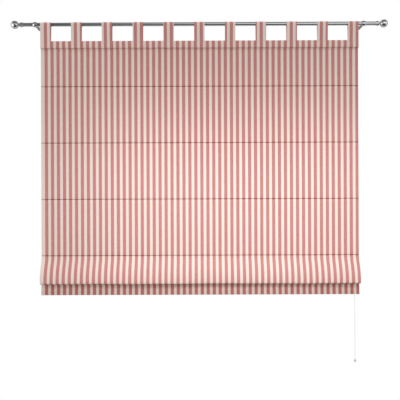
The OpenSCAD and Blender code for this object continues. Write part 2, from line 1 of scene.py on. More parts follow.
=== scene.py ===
import bpy
import bmesh
import math
from functools import partial
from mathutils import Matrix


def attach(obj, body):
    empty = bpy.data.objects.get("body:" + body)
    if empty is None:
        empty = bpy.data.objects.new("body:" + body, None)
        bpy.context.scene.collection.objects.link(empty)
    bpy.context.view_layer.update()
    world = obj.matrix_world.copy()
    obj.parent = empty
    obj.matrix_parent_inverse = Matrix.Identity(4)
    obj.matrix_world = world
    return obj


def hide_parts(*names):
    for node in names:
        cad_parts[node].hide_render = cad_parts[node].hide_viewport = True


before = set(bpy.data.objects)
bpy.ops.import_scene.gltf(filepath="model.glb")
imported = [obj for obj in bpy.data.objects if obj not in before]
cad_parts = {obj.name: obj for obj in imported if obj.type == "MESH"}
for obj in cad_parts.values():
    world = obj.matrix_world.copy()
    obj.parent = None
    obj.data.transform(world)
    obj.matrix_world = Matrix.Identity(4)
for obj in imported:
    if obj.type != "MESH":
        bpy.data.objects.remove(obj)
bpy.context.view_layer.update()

# Room view
# A level camera across the room, square to the cloth and a hair off plumb, far enough
# back that the whole pole, its finials and the hanging cord stand in a square picture.
room_lens = bpy.data.cameras.new("room_view")
room_lens.lens = 58.9
room_lens.sensor_width = 36
room_view = bpy.data.objects.new("room_view", room_lens)
room_view.location = (0, -3.386, -0.886)
room_view.rotation_euler = (math.radians(90), math.radians(0.22), 0)
bpy.context.collection.objects.link(room_view)
bpy.context.scene.camera = room_view

# Pull cord
# A limp braided cord of 2 mm polyester. It leaves the foot of the cord joiner behind the
# cloth, hangs straight by its own weight past the hem, and ends in a knot inside the knob.
mm = 0.001
X, Y, Z = range(3)
knot_shape = ((-1, 0.0), (-0.7, 0.714), (0, 1.0), (0.7, 0.714), (1, 0.0))


def span(name, axis):
    """Low and high end of a solid along an axis, to a tenth of a millimetre."""
    reach = [corner.co[axis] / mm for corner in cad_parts[name].data.vertices]
    return round(min(reach), 1), round(max(reach), 1)


def middle_of(name, axis):
    """Middle of a solid along an axis, to a tenth of a millimetre."""
    low, high = span(name, axis)
    return round((low + high) / 2, 1)


def place(tree, kind, inputs=None, **settings):
    """Puts a node in a tree, with its settings, and links or sets its sockets."""
    node = tree.nodes.new(kind)
    for key, value in settings.items():
        setattr(node, key, value)
    for key, value in (inputs or {}).items():
        if isinstance(value, bpy.types.NodeSocket):
            tree.links.new(value, node.inputs[key])
        else:
            node.inputs[key].default_value = value
    return node


def reckon(tree, operation, *values):
    """Puts a sum in a tree and gives its result."""
    return place(tree, "ShaderNodeMath", dict(enumerate(values)), operation=operation).outputs[0]


def new_group(name, kind, inputs, outputs):
    """An empty node group with named sockets: its tree, what it is given and what it makes."""
    tree = bpy.data.node_groups.new(name, kind)
    for side, sockets in (("INPUT", inputs), ("OUTPUT", outputs)):
        for label, socket in sockets:
            tree.interface.new_socket(label, in_out=side, socket_type="NodeSocket" + socket)
    given = tree.nodes.new("NodeGroupInput").outputs
    return tree, given, tree.nodes.new("NodeGroupOutput").inputs


def use_group(tree, group, inputs):
    """Places a shader group in a material and gives what it makes."""
    return place(tree, "ShaderNodeGroup", inputs, node_tree=group).outputs


def new_material(name, rough, metal=0.0, sheen=0.0, coat=0.0):
    """A material with its plain values set: the material, its tree and its shader."""
    material = bpy.data.materials.new(name)
    material.use_nodes = True
    tree = material.node_tree
    skin = tree.nodes["Principled BSDF"]
    skin.inputs["Roughness"].default_value = rough
    skin.inputs["Metallic"].default_value = metal
    skin.inputs["Sheen Weight"].default_value = sheen
    skin.inputs["Coat Weight"].default_value = coat
    return material, tree, skin


def colour_by(tree, skin, colour, shade):
    """Gives a shader one colour, lighter and darker by a shade that varies."""
    tone = place(tree, "ShaderNodeVectorMath", {0: colour, "Scale": shade}, operation="SCALE")
    tree.links.new(tone.outputs["Vector"], skin.inputs["Base Color"])


def raise_surface(tree, skin, height, strength, distance):
    """Gives a shader the fine relief of a height that varies."""
    bump = place(tree, "ShaderNodeBump",
                 {"Height": height, "Strength": strength, "Distance": distance})
    tree.links.new(bump.outputs["Normal"], skin.inputs["Normal"])


# Strands of a braid cross each other as two sets of helices round the cord.
cord_braid, given, made = new_group(
    "cord_braid", "ShaderNodeTree",
    [("Run", "Float"), ("Around", "Vector"), ("Pitch", "Float"), ("Strands", "Float")],
    [("Height", "Float"), ("Shade", "Float")])
braid_sum = partial(reckon, cord_braid)
strand_shade = 0.12
split = place(cord_braid, "ShaderNodeSeparateXYZ", {"Vector": given["Around"]})
turn = braid_sum("ARCTAN2", split.outputs["Y"], split.outputs["X"])
angle = braid_sum("MULTIPLY", turn, given["Strands"])
climb = braid_sum("MULTIPLY", braid_sum("DIVIDE", given["Run"], given["Pitch"]), 2 * math.pi)
right_hand = braid_sum("SINE", braid_sum("ADD", angle, climb))
left_hand = braid_sum("SINE", braid_sum("SUBTRACT", angle, climb))
crossing = braid_sum("MAXIMUM", right_hand, left_hand)
cord_braid.links.new(braid_sum("MULTIPLY_ADD", crossing, 0.5, 0.5), made["Height"])
cord_braid.links.new(braid_sum("MULTIPLY_ADD", crossing, strand_shade, 1 - strand_shade),
                     made["Shade"])


def braided_material(name, colour, pitch, strands):
    """White braid that follows the run of its cord."""
    material, tree, skin = new_material(name, rough=0.62, sheen=0.2)
    run = place(tree, "ShaderNodeAttribute", attribute_name="run")
    ring_place = place(tree, "ShaderNodeAttribute", attribute_name="around")
    braid = use_group(tree, cord_braid, {
        "Run": run.outputs["Fac"], "Around": ring_place.outputs["Vector"],
        "Pitch": pitch, "Strands": strands})
    colour_by(tree, skin, colour, braid["Shade"])
    raise_surface(tree, skin, braid["Height"], strength=0.5, distance=0.0002)
    return material


def finish_tree(tree, shape, finish, result):
    """Ends a tree: its instances are made real and take their material."""
    real = place(tree, "GeometryNodeRealizeInstances", {"Geometry": shape})
    dressed = place(tree, "GeometryNodeSetMaterial",
                    {"Geometry": real.outputs[0], "Material": finish})
    tree.links.new(dressed.outputs[0], result)


# A round cord is swept along its centreline, with the girth of each point for its knots.
cord_sweep, given, made = new_group(
    "cord_sweep", "GeometryNodeTree",
    [("Centreline", "Geometry"), ("Diameter", "Float"), ("Sides", "Int"), ("Finish", "Material")],
    [("Cord", "Geometry")])
line = place(cord_sweep, "GeometryNodeMeshToCurve", {"Mesh": given["Centreline"]})
measure = place(cord_sweep, "GeometryNodeSplineParameter")
line = place(cord_sweep, "GeometryNodeStoreNamedAttribute",
             {"Geometry": line.outputs[0], "Name": "run", "Value": measure.outputs["Length"]},
             domain="POINT")
ring = place(cord_sweep, "GeometryNodeCurvePrimitiveCircle",
             {"Resolution": given["Sides"],
              "Radius": reckon(cord_sweep, "MULTIPLY", given["Diameter"], 0.5)})
spot = place(cord_sweep, "GeometryNodeInputPosition")
ring = place(cord_sweep, "GeometryNodeStoreNamedAttribute",
             {"Geometry": ring.outputs[0], "Name": "around", "Value": spot.outputs[0]},
             data_type="FLOAT_VECTOR", domain="POINT")
girth = place(cord_sweep, "GeometryNodeInputNamedAttribute", {"Name": "girth"}, data_type="FLOAT")
swept = place(cord_sweep, "GeometryNodeCurveToMesh",
              {"Curve": line.outputs[0], "Profile Curve": ring.outputs[0],
               "Scale": girth.outputs[0], "Fill Caps": True})
swept = place(cord_sweep, "GeometryNodeSetShadeSmooth", {"Geometry": swept.outputs[0]})
finish_tree(cord_sweep, swept.outputs[0], given["Finish"], made["Cord"])


def grow(name, tree, mesh, values):
    """Runs a tree on a mesh, with values for its named inputs, and keeps the plain result."""
    piece = bpy.data.objects.new(name, mesh)
    bpy.context.collection.objects.link(piece)
    nodes = piece.modifiers.new(name, "NODES")
    nodes.node_group = tree
    for socket in tree.interface.items_tree:
        if socket.item_type == "SOCKET" and socket.in_out == "INPUT" and socket.name in values:
            nodes[socket.identifier] = values[socket.name]
    depsgraph = bpy.context.evaluated_depsgraph_get()
    finished = bpy.data.meshes.new_from_object(
        piece.evaluated_get(depsgraph), preserve_all_data_layers=True, depsgraph=depsgraph)
    piece.modifiers.clear()
    piece.data = finished
    finished.name = name
    bpy.data.meshes.remove(mesh)
    return piece


def polyline(name, lines, girths=None):
    """A mesh of open lines, with the girth of each point."""
    mesh = bpy.data.meshes.new(name)
    points, edges = [], []
    for points_of_line in lines:
        first = len(points)
        points += points_of_line
        edges += [(first + i, first + i + 1) for i in range(len(points_of_line) - 1)]
    mesh.from_pydata(points, edges, [])
    attribute = mesh.attributes.new("girth", "FLOAT", "POINT")
    attribute.data.foreach_set("value", girths or [1.0] * len(points))
    return mesh


def knotted(route, girths, middle, radius, cord_radius, down):
    """Adds the points and girths of a round knot to a cord's route."""
    for height, width in knot_shape:
        rise = (-height if down else height) * radius
        route.append((middle[0], middle[1], middle[2] + rise))
        girths.append(max(1.0, width * radius / cord_radius))


cord_d = 2 * mm
knot_r = 2.4 * mm
joiner_grip = 7.5 * mm
knot_under_neck = 14 * mm
hang_points = 25
pull_x = middle_of("cord_knob", X) * mm
pull_y = middle_of("cord_knob", Y) * mm
joiner_foot = span("cord_joiner", Z)[0] * mm
pull_top = joiner_foot + joiner_grip
pull_knot = span("cord_knob", Z)[1] * mm - knot_under_neck
hang = pull_top - pull_knot - knot_r
cord_white = braided_material("braided_cord", (0.82, 0.82, 0.81), pitch=3.4 * mm, strands=4)
route = [(pull_x, pull_y, pull_top - hang * i / hang_points) for i in range(hang_points)]
girths = [1.0] * len(route)
knotted(route, girths, (pull_x, pull_y, pull_knot), knot_r, cord_d / 2, down=True)
pull_cord = grow("pull_cord_braid", cord_sweep, polyline("pull_cord_line", [route], girths),
                 {"Diameter": cord_d, "Sides": 12, "Finish": cord_white})
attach(pull_cord, "blind")
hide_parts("pull_cord")

# Joiner and knob
# Two small turned pieces of white plastic: a barrel that gathers the lift cords into the
# pull cord, and a ball with a short neck that is gripped to draw the blind.
fine_grain, given, made = new_group(
    "fine_grain", "ShaderNodeTree",
    [("Size", "Float"), ("Stretch", "Vector")],
    [("Height", "Float"), ("Shade", "Float")])
grain_shade = 0.16
where = place(fine_grain, "ShaderNodeTexCoord")
stretched = place(fine_grain, "ShaderNodeVectorMath",
                  {0: where.outputs["Object"], 1: given["Stretch"]}, operation="MULTIPLY")
speck = place(fine_grain, "ShaderNodeTexNoise",
              {"Vector": stretched.outputs["Vector"],
               "Scale": reckon(fine_grain, "DIVIDE", 1.0, given["Size"]),
               "Detail": 4.0, "Roughness": 0.6}).outputs["Fac"]
fine_grain.links.new(speck, made["Height"])
fine_grain.links.new(reckon(fine_grain, "MULTIPLY_ADD", speck, grain_shade, 1 - grain_shade / 2),
                     made["Shade"])


def grained_material(name, colour, rough, size, stretch=(1, 1, 1), metal=0.0, coat=0.0,
                     bump=0.15, spread=0.12):
    """A finish with a fine grain, drawn out along the way that the piece was worked."""
    material, tree, skin = new_material(name, rough, metal=metal, coat=coat)
    grain = use_group(tree, fine_grain, {"Size": size, "Stretch": stretch})
    colour_by(tree, skin, colour, grain["Shade"])
    graded = reckon(tree, "MULTIPLY_ADD", grain["Height"], spread, rough - spread / 2)
    tree.links.new(graded, skin.inputs["Roughness"])
    raise_surface(tree, skin, grain["Height"], bump, distance=0.0002)
    return material


def finish_nodes(material, *names):
    """Gives solids of the frame their finish."""
    for name in names:
        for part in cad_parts[name].material_slots:
            part.material = material


knob_white = grained_material("white_plastic", (0.78, 0.78, 0.77), rough=0.3, size=1.2 * mm,
                              coat=0.2)
finish_nodes(knob_white, "cord_joiner", "cord_knob")

# Blind cloth
# One length of striped cotton, woven in red and cream. It is turned over a batten at the
# heading, tucked round a rod at each seam, folded forward at the foot and hemmed round a bar.
pole_y = middle_of("curtain_pole", Y) * mm
cloth_t, cloth_edge, cloth_columns = 1.2, 800, 96
layer_y, layer_gap = 4.8, 0.1
sewn = layer_y - cloth_t - layer_gap
heading_top = span("blind_panel", Z)[1]
heading_seam = heading_top - 38
heading_corner, corner_drop = 1.6, 2.2
facing_end, facing_turn, facing_pull, facing_rise = 6, 1, 1.5, 5
seams = tuple(middle_of(f"batten_{i}", Z) for i in range(1, 5))
tuck_bend, tuck_neck, tuck_half, tuck_r = 2.0, 6.0, 0.65, 3.85
fold_y = span("blind_panel", Y)[0] - pole_y / mm + cloth_t / 2
fold_r = 9.5
fold_bottom = seams[-1] - 141.5
fold_aim = math.radians(35)
top_pull, foot_pull, back_pull = 33, 78, 40
neck_hold, neck_lead = 3, 4
rod_at = (middle_of("batten_5", Y) - pole_y / mm, middle_of("batten_5", Z))
hem_r, hem_forward = 2.8, 10
hem_pocket, hem_close, hem_top, hem_layer = 25, 37, 62, 1.3


def around(centre, radius, start, end, steps):
    """Points on an arc, from one angle to another in degrees."""
    angles = [math.radians(start + (end - start) * i / steps) for i in range(steps + 1)]
    return [(centre[0] + radius * math.cos(a), centre[1] + radius * math.sin(a)) for a in angles]


def bend(a, b, c, d, steps):
    """Points on a smooth bend from a to d, drawn towards b and c, without its first."""
    points = []
    for i in range(1, steps + 1):
        t, s = i / steps, 1 - i / steps
        points.append(tuple(s * s * s * a[k] + 3 * s * s * t * b[k] + 3 * s * t * t * c[k]
                            + t * t * t * d[k] for k in (0, 1)))
    return points


def straight(a, b, steps):
    """Points on a straight line from a to b, without its first."""
    return [(a[0] + (b[0] - a[0]) * i / steps, a[1] + (b[1] - a[1]) * i / steps)
            for i in range(1, steps + 1)]


def turned(p, angle):
    """A step turned by an angle in radians."""
    return (p[0] * math.cos(angle) - p[1] * math.sin(angle),
            p[0] * math.sin(angle) + p[1] * math.cos(angle))


def moved(p, step, times=1):
    """A point moved by a step, or by a number of them."""
    return (p[0] + times * step[0], p[1] + times * step[1])


def tuck(neck, aim):
    """The loop of cloth round a rod, from one side of its neck to the other."""
    lean = math.degrees(math.asin(tuck_r / math.hypot(tuck_neck, tuck_half))
                        - math.atan2(tuck_half, tuck_neck))
    loop = around((tuck_neck, 0), tuck_r, 90 + lean, -90 - lean, steps=14)
    return [moved(neck, turned(p, aim)) for p in loop]


# Each stretch is its points, from the heading's facing to the hem's turning, as depth behind
# the pole and height, and the name of what the cloth does there.
stretches = []


def lay(kind, points):
    """Adds the next stretch of the cloth."""
    stretches.append((points, kind))


lay("still", [(sewn, heading_seam - facing_end), (sewn, heading_seam - facing_turn)])
lay("turn_under", bend((sewn, heading_seam - facing_turn), (sewn, heading_seam + facing_pull),
                       (-layer_y, heading_seam + facing_pull),
                       (-layer_y, heading_seam + facing_rise), steps=8))
lay("still", straight((-layer_y, heading_seam + facing_rise),
                      (-layer_y, heading_top - corner_drop), steps=4)[:-1])
lay("still", around((heading_corner - layer_y, heading_top - corner_drop), heading_corner,
                    180, 90, steps=5))
lay("still", around((layer_y - heading_corner, heading_top - corner_drop), heading_corner,
                    90, 0, steps=5))
lay("still", straight((layer_y, heading_top - corner_drop), (layer_y, heading_seam), steps=4))
above = heading_seam
for z in seams:
    lip = z + tuck_half + tuck_bend
    lay("pleat", straight((layer_y, above), (layer_y, lip), steps=16)[:-1])
    above = z - tuck_half - tuck_bend
    lay("tuck_in", around((layer_y + tuck_bend, lip), tuck_bend, 180, 270, steps=5))
    lay("tuck", tuck((layer_y + tuck_bend, z), 0))
    lay("tuck_out", around((layer_y + tuck_bend, above), tuck_bend, 90, 180, steps=5))
fold_low = (fold_y + fold_r, fold_bottom + cloth_t / 2 + fold_r)
fold_behind = (fold_low[0] + fold_r, fold_low[1])
lay("fold_front", bend((layer_y, above), (layer_y, above - top_pull),
                       (fold_y, fold_bottom + foot_pull), (fold_y, fold_low[1]), steps=26))
lay("fold_turn", around(fold_low, fold_r, 190, 360, steps=17))
neck = moved(rod_at, turned((tuck_neck, 0), fold_aim), -1)
over = turned((0, tuck_half), fold_aim)
hold = moved(moved(neck, over), turned((neck_hold, 0), fold_aim), -1)
lead = moved(hold, turned((neck_lead, 0), fold_aim), -1)
lay("fold_back", bend(fold_behind, moved(fold_behind, (0, back_pull)), lead, hold, steps=18))
lay("still", [moved(neck, over)])
lay("tuck", tuck(neck, fold_aim))
hem_bend = moved(moved(neck, over, -1), turned((0, tuck_bend), fold_aim), -1)
lay("still", around(hem_bend, tuck_bend, 125, 180, steps=4))
hem_from = (hem_bend[0] - tuck_bend, hem_bend[1])
hem_to = (layer_y - hem_forward, span("blind_panel", Z)[0] + cloth_t / 2 + hem_r)
hem_run = moved(hem_to, hem_from, -1)
hem_long = math.hypot(*hem_run)
hem_down = (hem_run[0] / hem_long, hem_run[1] / hem_long)
hem_back = (-hem_down[1], hem_down[0])
hem_angle = math.degrees(math.atan2(hem_back[1], hem_back[0]))


def up_hem(off, rise):
    """A point at some depth behind the hem's face and some way up from its foot."""
    return moved(moved(hem_to, hem_back, off), hem_down, -rise)


lay("hem_front", straight(hem_from, hem_to, steps=14)[:-1])
lay("hem_turn", around(moved(hem_to, hem_back, hem_r), hem_r, hem_angle + 180, hem_angle + 360,
                       steps=12))
lay("still", [up_hem(2 * hem_r, hem_pocket), up_hem(hem_layer, hem_close),
              up_hem(hem_layer, hem_top)])


def wave(x, height, rate, phase):
    """A slow wave along the cloth."""
    return height * math.sin(rate * x + phase)


def softness(kind, x, height, share):
    """How far a point of the hanging cloth lies off its straight line: a breath of a ripple
    in the flat pleats, and a slow swell along the fold."""
    if kind == "pleat":
        ripple = wave(x, 0.45, 7.1, 0.021 * height) + wave(x, 0.3, 15.7, 2.0)
        return (math.sin(math.pi * share) * ripple, 0)
    free = {"fold_front": share, "fold_turn": 1, "fold_back": 1 - share}.get(kind, 0)
    swell = wave(x, 1.1, 5.3, 0.6) + wave(x, 0.7, 11.9, 1.7)
    lift = wave(x, 0.6, 8.7, 0.3) + wave(x, 0.35, 21.0, 0)
    return (math.sin(math.pi * free / 2) * swell, free * free * lift)


# Painted shade and painted warm bounce light in the cloth's colour: darker in the tucks' mouths,
# round the fold's foot and along the hem's lowest edge, and deeper and warmer over the hem under
# the fold.
fold_shade, hem_shade = 0.55, 0.36
tuck_warmth, fold_warmth, hem_warmth = 1.4, 2.5, 0.28


def painted_shading(kind, share, side):
    """How much painted shade a point of the cloth's face gets, from how deep it lies in the mouth
    of a tuck or how near it is to the lower edge of the fold or of the hem, and how much deeper
    and warmer its colour is painted there. A tuck's mouth is its first and last fifth, the fold's
    painted shade sets in about a fifth of the way round its turn, the hem's lowest sixth is painted
    darker, and the whole hem is painted warmer."""
    mouth = max(0, 1 - 5 * min(share, 1 - share))
    under = fold_shade * min(1, max(0, 6 * share - 1.3))
    graded = hem_shade * max(0, 6 * share - 5)
    shades = {"tuck_in": math.sqrt(share), "tuck": mouth, "tuck_out": math.sqrt(1 - share),
              "fold_turn": under, "hem_front": graded, "hem_turn": hem_shade * (1 - share)}
    shade = shades.get(kind, 0) if side < 0 else 0
    warmths = {"fold_turn": fold_warmth * shade, "hem_front": hem_warmth, "hem_turn": hem_warmth * (1 - share)}
    return shade, warmths.get(kind, tuck_warmth * shade)


def square_to(path):
    """The way out of a path at each point, longer at a corner so that cloth keeps its
    thickness there."""
    headings = [math.atan2(b[1] - a[1], b[0] - a[0]) for a, b in zip(path, path[1:])]
    ways = []
    for first, second in zip(headings[:1] + headings, headings + headings[-1:]):
        half = ((second - first + math.pi) % (2 * math.pi) - math.pi) / 2
        side = first + half + math.pi / 2
        ways.append((math.cos(side) / math.cos(half), math.sin(side) / math.cos(half)))
    return ways


def woven_strip(name, stretches, thickness, left, right, columns, lean=0.0):
    """A closed strip of cloth with rounded side edges. Its UV map holds the place across the
    width and the run along the cloth, both in metres, and two attributes hold its painted
    shade and how much deeper and warmer its colour is painted there."""
    path, kinds = [], []
    for points, kind in stretches:
        for n, p in enumerate(points):
            path.append(p)
            kinds.append((kind, n / max(1, len(points) - 1)))
    runs = [0.0]
    for a, b in zip(path, path[1:]):
        runs.append(runs[-1] + math.dist(a, b))
    ways = square_to(path)
    r = thickness / 2
    # The insets that round off a side edge, and the share of the thickness at each.
    rims = [(0.0, 0.3), (0.12 * r, 0.62), (0.4 * r, 0.88), (r, 1.0)]
    places = [(left + d, f) for d, f in rims]
    places += [(left + (right - left) * i / columns, 1.0) for i in range(1, columns)]
    places += [(right - d, f) for d, f in reversed(rims)]
    points, grain, shadings = [], [], []
    top = max(p[1] for p in path)
    foot = min(p[1] for p in path)
    for x, fullness in places:
        for p, way, run, (kind, share) in zip(path, ways, runs, kinds):
            soft = softness(kind, x * mm, p[1], share)
            shift = lean * (p[1] - foot) / (top - foot)
            for side in (1, -1):
                reach = side * r * fullness
                points.append(((x + shift) * mm, pole_y + (p[0] + soft[0] + way[0] * reach) * mm,
                               (p[1] + soft[1] + way[1] * reach) * mm))
                grain.append((x * mm, run * mm))
                shadings.append(painted_shading(kind, share, side))
    size = 2 * len(path)
    faces = []
    for c in range(len(places) - 1):
        for i in range(len(path) - 1):
            a, b = c * size + 2 * i, (c + 1) * size + 2 * i
            faces.append((a, a + 2, b + 2, b))
            faces.append((a + 1, b + 1, b + 3, a + 3))
        for i in (0, len(path) - 1):
            a, b = c * size + 2 * i, (c + 1) * size + 2 * i
            faces.append((a, b, b + 1, a + 1))
    for c in (0, len(places) - 1):
        for i in range(len(path) - 1):
            a = c * size + 2 * i
            faces.append((a, a + 1, a + 3, a + 2))
    mesh = bpy.data.meshes.new(name)
    mesh.from_pydata(points, [], faces)
    weave = mesh.uv_layers.new(name="cloth_grain")
    for loop in mesh.loops:
        weave.data[loop.index].uv = grain[loop.vertex_index]
    # These two attributes carry the painted shade and the painted warmth of the cloth's colour.
    for attribute, values in zip(("painted_shade", "painted_warmth"), zip(*shadings)):
        mesh.attributes.new(attribute, "FLOAT", "POINT").data.foreach_set("value", values)
    shell = bmesh.new()
    shell.from_mesh(mesh)
    bmesh.ops.recalc_face_normals(shell, faces=shell.faces)
    shell.to_mesh(mesh)
    shell.free()
    mesh.shade_smooth()
    mesh.set_sharp_from_angle(angle=math.radians(60))
    piece = bpy.data.objects.new(name, mesh)
    bpy.context.collection.objects.link(piece)
    return piece, runs[-1] * mm


# Red warp threads lie in even bands between cream ones, from a plain selvedge at the left,
# and the cream weft shows between them.
stripe_weave, given, made = new_group(
    "stripe_weave", "ShaderNodeTree",
    [("Across", "Float"), ("Along", "Float"), ("Repeat", "Float"), ("First Red", "Float"),
     ("Red Share", "Float"), ("Red", "Color"), ("Cream", "Color"), ("Weft Show", "Float"),
     ("Thread", "Float"), ("Painted Shade", "Float"), ("Shade Strength", "Float"), ("Shade Warmth", "Float")],
    [("Colour", "Color"), ("Height", "Float"), ("Fuzz", "Float")])
weave_sum = partial(reckon, stripe_weave)
warp = weave_sum("DIVIDE", given["Across"], given["Thread"])
weft = weave_sum("DIVIDE", given["Along"], given["Thread"])


def thread_height(count):
    """Height of a round thread across its own width, from a count of threads."""
    edge = weave_sum("SUBTRACT", weave_sum("MULTIPLY", weave_sum("FRACT", count), 2.0), 1.0)
    return weave_sum("SUBTRACT", 1.0, weave_sum("MULTIPLY", edge, edge))


def uneven_yarn(across, along):
    """How thick the yarn is from place to place, drawn out along the warp or the weft."""
    at = place(stripe_weave, "ShaderNodeCombineXYZ",
               {"X": weave_sum("MULTIPLY", warp, across), "Y": weave_sum("MULTIPLY", weft, along)})
    yarn = place(stripe_weave, "ShaderNodeTexNoise",
                 {"Vector": at.outputs["Vector"], "Scale": 1.0, "Detail": 3.0})
    return yarn.outputs["Fac"]


def mixed(share, under, over):
    """A share of one colour over another; a Mix node has its colours at sockets 6 and 7."""
    mix = place(stripe_weave, "ShaderNodeMix", {0: share, 6: under, 7: over}, data_type="RGBA")
    return mix.outputs[2]


parity = weave_sum("ADD", weave_sum("FLOOR", warp), weave_sum("FLOOR", weft))
weft_over = weave_sum("MULTIPLY", weave_sum("FRACT", weave_sum("MULTIPLY", parity, 0.5)), 2.0)
warp_over = weave_sum("SUBTRACT", 1.0, weft_over)
threads = weave_sum("ADD", weave_sum("MULTIPLY", thread_height(warp), warp_over),
                    weave_sum("MULTIPLY", thread_height(weft), weft_over))
slub = uneven_yarn(across=0.9, along=0.035)
pick = uneven_yarn(across=0.03, along=0.8)
half_band = weave_sum("MULTIPLY", given["Red Share"], 0.5)
from_first = weave_sum("SUBTRACT", given["Across"], given["First Red"])
phase = weave_sum("FRACT", weave_sum("DIVIDE", from_first, given["Repeat"]))
off_middle = weave_sum("ABSOLUTE", weave_sum("SUBTRACT", phase, half_band))
wrapped = weave_sum("MINIMUM", off_middle, weave_sum("SUBTRACT", 1.0, off_middle))
ragged = weave_sum("MULTIPLY_ADD", slub, 0.02, -0.01)
edge = weave_sum("ADD", weave_sum("SUBTRACT", wrapped, half_band), ragged)
band = place(stripe_weave, "ShaderNodeMapRange",
             {"Value": edge, "From Min": -0.014, "From Max": 0.014, "To Min": 1.0, "To Max": 0.0},
             interpolation_type="SMOOTHSTEP").outputs["Result"]
first_band = weave_sum("MULTIPLY_ADD", given["Repeat"], -0.25, given["First Red"])
past_selvedge = weave_sum("GREATER_THAN", given["Across"], first_band)
warp_colour = mixed(weave_sum("MULTIPLY", band, past_selvedge), given["Cream"], given["Red"])
cloth_colour = mixed(weave_sum("MULTIPLY", weft_over, given["Weft Show"]),
                     warp_colour, given["Cream"])
uneven = weave_sum("ADD", weave_sum("MULTIPLY", slub, 0.10), weave_sum("MULTIPLY", pick, 0.10))
shade = weave_sum("ADD", weave_sum("MULTIPLY_ADD", threads, 0.10, 0.835), uneven)
# Painted shade: the colour is darkened by the shade mask times its strength, and raised to a power
# by the warmth, which paints shaded cloth deeper and warmer.
shade_left = weave_sum("SUBTRACT", 1.0, weave_sum("MULTIPLY", given["Painted Shade"], given["Shade Strength"]))
warmed = place(stripe_weave, "ShaderNodeGamma",
             {"Color": cloth_colour, "Gamma": weave_sum("ADD", given["Shade Warmth"], 1.0)})
toned = place(stripe_weave, "ShaderNodeVectorMath",
              {0: warmed.outputs["Color"], "Scale": weave_sum("MULTIPLY", shade, shade_left)},
              operation="SCALE")
stripe_weave.links.new(toned.outputs["Vector"], made["Colour"])
stripe_weave.links.new(weave_sum("ADD", threads, weave_sum("MULTIPLY", slub, 0.6)), made["Height"])
stripe_weave.links.new(weave_sum("MULTIPLY_ADD", pick, 0.16, 0.78), made["Fuzz"])

stripe_red = (0.60, 0.165, 0.155, 1)
stripe_cream = (0.93, 0.795, 0.72, 1)


def striped_material(name, bump):
    """The striped cotton, which follows the cloth's own grain round every fold."""
    material, tree, skin = new_material(name, rough=0.85, sheen=0.08)
    grain = place(tree, "ShaderNodeUVMap", uv_map="cloth_grain")
    # The painted shade and painted warmth of the cloth's colour are read from its mesh.
    painted_shade = place(tree, "ShaderNodeAttribute", attribute_name="painted_shade")
    warmth = place(tree, "ShaderNodeAttribute", attribute_name="painted_warmth")
    spot = place(tree, "ShaderNodeSeparateXYZ", {"Vector": grain.outputs["UV"]})
    weave = use_group(tree, stripe_weave, {
        "Across": spot.outputs["X"], "Along": spot.outputs["Y"],
        "Repeat": 0.03012, "First Red": -0.7812, "Red Share": 0.53,
        "Red": stripe_red, "Cream": stripe_cream, "Weft Show": 0.3, "Thread": 0.75 * mm,
        "Painted Shade": painted_shade.outputs["Fac"], "Shade Strength": 0.5, "Shade Warmth": warmth.outputs["Fac"]})
    tree.links.new(weave["Colour"], skin.inputs["Base Color"])
    tree.links.new(weave["Fuzz"], skin.inputs["Roughness"])
    raise_surface(tree, skin, weave["Height"], bump, distance=0.0003)
    skin.inputs["Specular IOR Level"].default_value = 0.4
    return material


cotton = striped_material("striped_cotton", bump=0.35)
blind_cloth, cloth_length = woven_strip("blind_cloth", stretches, cloth_t, -cloth_edge, cloth_edge,
                                        cloth_columns)
blind_cloth.data.materials.append(cotton)
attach(blind_cloth, "blind")
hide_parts("blind_panel")

# Seam stitching
# Spun thread in short lockstitches along the heading seam, the tucks and the hem. Each
# stitch is a small bead of thread that sinks into the cloth at both ends.
stitch_row, given, made = new_group(
    "stitch_row", "GeometryNodeTree",
    [("Seam", "Geometry"), ("Pitch", "Float"), ("Length", "Float"), ("Thread", "Float"),
     ("Seed", "Int"), ("Finish", "Material")],
    [("Stitches", "Geometry")])
shortest, longest = 0.88, 1.08
line = place(stitch_row, "GeometryNodeMeshToCurve", {"Mesh": given["Seam"]})
spaced = place(stitch_row, "GeometryNodeResampleCurve",
               {"Curve": line.outputs[0], "Length": given["Pitch"]}, mode="LENGTH")
along = place(stitch_row, "GeometryNodeInputTangent")
facing = place(stitch_row, "FunctionNodeAlignRotationToVector", {"Vector": along.outputs[0]},
               axis="X")
bead = place(stitch_row, "GeometryNodeMeshUVSphere", {"Segments": 6, "Rings": 3, "Radius": 0.5})
bead = place(stitch_row, "GeometryNodeSetShadeSmooth", {"Geometry": bead.outputs[0]})
# A Random Value node has its plain number's limits at sockets 2 and 3, and its result at 1.
pull = place(stitch_row, "FunctionNodeRandomValue",
             {2: shortest, 3: longest, "Seed": given["Seed"]}, data_type="FLOAT")
bead_size = place(stitch_row, "ShaderNodeCombineXYZ",
                  {"X": reckon(stitch_row, "MULTIPLY", given["Length"], pull.outputs[1]),
                   "Y": given["Thread"], "Z": given["Thread"]})
sewn_on = place(stitch_row, "GeometryNodeInstanceOnPoints",
                {"Points": spaced.outputs[0], "Instance": bead.outputs[0],
                 "Rotation": facing.outputs[0], "Scale": bead_size.outputs[0]})
finish_tree(stitch_row, sewn_on.outputs[0], given["Finish"], made["Stitches"])

rose_thread = grained_material("rose_thread", (0.72, 0.42, 0.38), rough=0.7, size=0.5 * mm,
                               stretch=(1, 4, 4), bump=0.3)
seam_edge = 796
heading_row, hem_row = 2, 57
thread_proud, tuck_proud, inner_proud = 0.05, 0.1, 0.15


def seam_line(points):
    """Points given in millimetres from the pole's axis, in the frame's metres."""
    return [(x * mm, pole_y + depth * mm, z * mm) for x, depth, z in points]


def row_across(depth, height):
    """A seam straight across the cloth, just short of its edges."""
    return seam_line([(-seam_edge, depth, height), (seam_edge, depth, height)])


